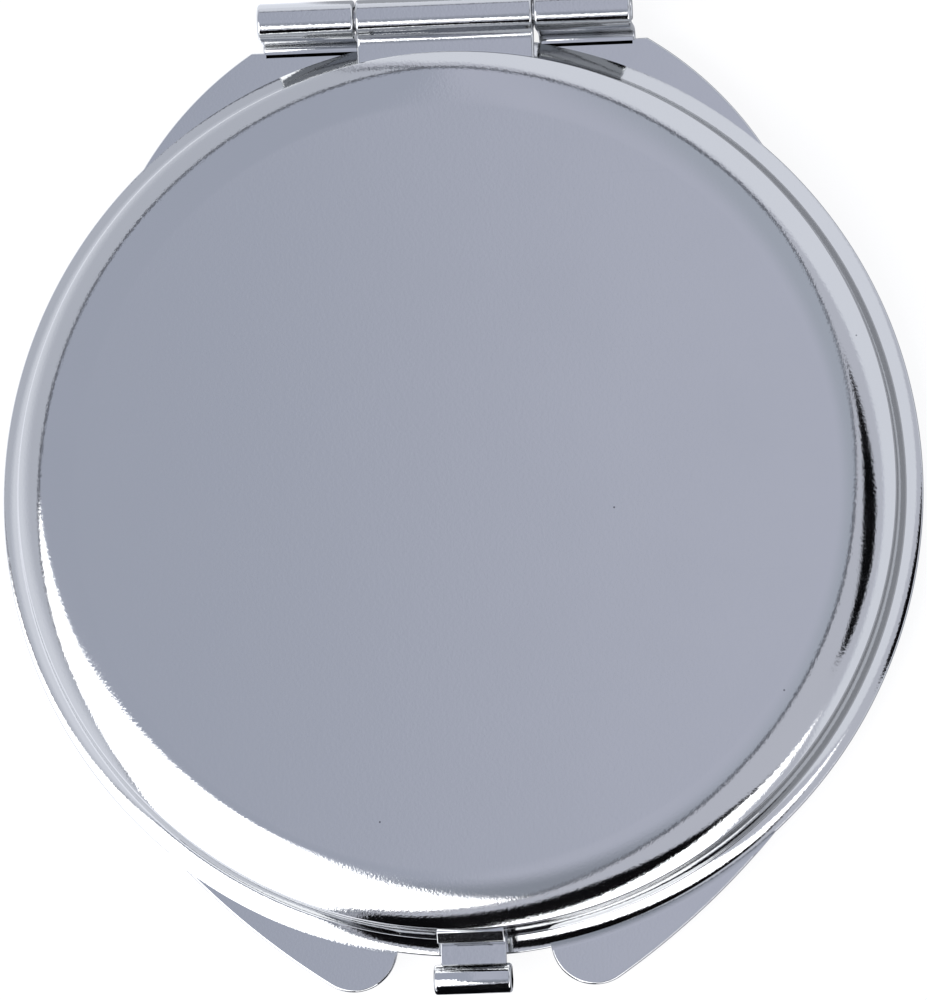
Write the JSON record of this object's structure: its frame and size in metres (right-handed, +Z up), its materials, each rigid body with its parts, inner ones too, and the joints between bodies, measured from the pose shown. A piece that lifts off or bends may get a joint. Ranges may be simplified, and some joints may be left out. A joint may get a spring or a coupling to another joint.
{
  "type": "compact mirror",
  "caption": "Round pocket compact with a hinged lid, mirrors inside both halves and a press latch at the front.",
  "frame": {"origin": "centre of the flat underside, on the axis of the round shells", "axes": "+Z up through the closed lid, +Y towards the hinge, +X right seen from above with the hinge away"},
  "size_m": [0.065, 0.0702, 0.0089],
  "materials": {
    "base_chrome": "polished plating on steel sheet",
    "rim_chrome": "polished plating on steel sheet",
    "lid_chrome": "polished plating on steel sheet",
    "bezel_chrome": "polished plating on steel sheet",
    "button_chrome": "polished plating on steel sheet",
    "seat_steel": "plain sheet",
    "pin_steel": "drawn wire",
    "spring_steel": "spring strip",
    "mirror": "silvered glass",
    "adhesive": "film",
    "foam": "foam"
  },
  "bodies": {
    "base": {"base_shell": "base_chrome", "base_rim": "rim_chrome", "mirror_seat": "seat_steel", "base_adhesive": "adhesive", "base_mirror": "mirror", "hinge_pin": "pin_steel", "latch_spring": "spring_steel"},
    "lid": {"lid_shell": "lid_chrome", "lid_bezel": "bezel_chrome", "lid_mirror": "mirror", "lid_pad": "foam"},
    "button": {"push_button": "button_chrome"}
  },
  "joints": [
    {"name": "lid_hinge", "type": "hinge", "parent": "base", "child": "lid", "pos_m": [0, 0.03365, 0.00565], "axis": [-1, 0, 0], "range_deg": [0, 180]},
    {"name": "button_press", "type": "slide", "parent": "base", "child": "button", "axis": [0, 1, 0], "range_m": [0, 0.0007], "stiffness_N_per_m": 800, "springref_m": -0.0015, "deforming": ["latch_spring"]}
  ]
}
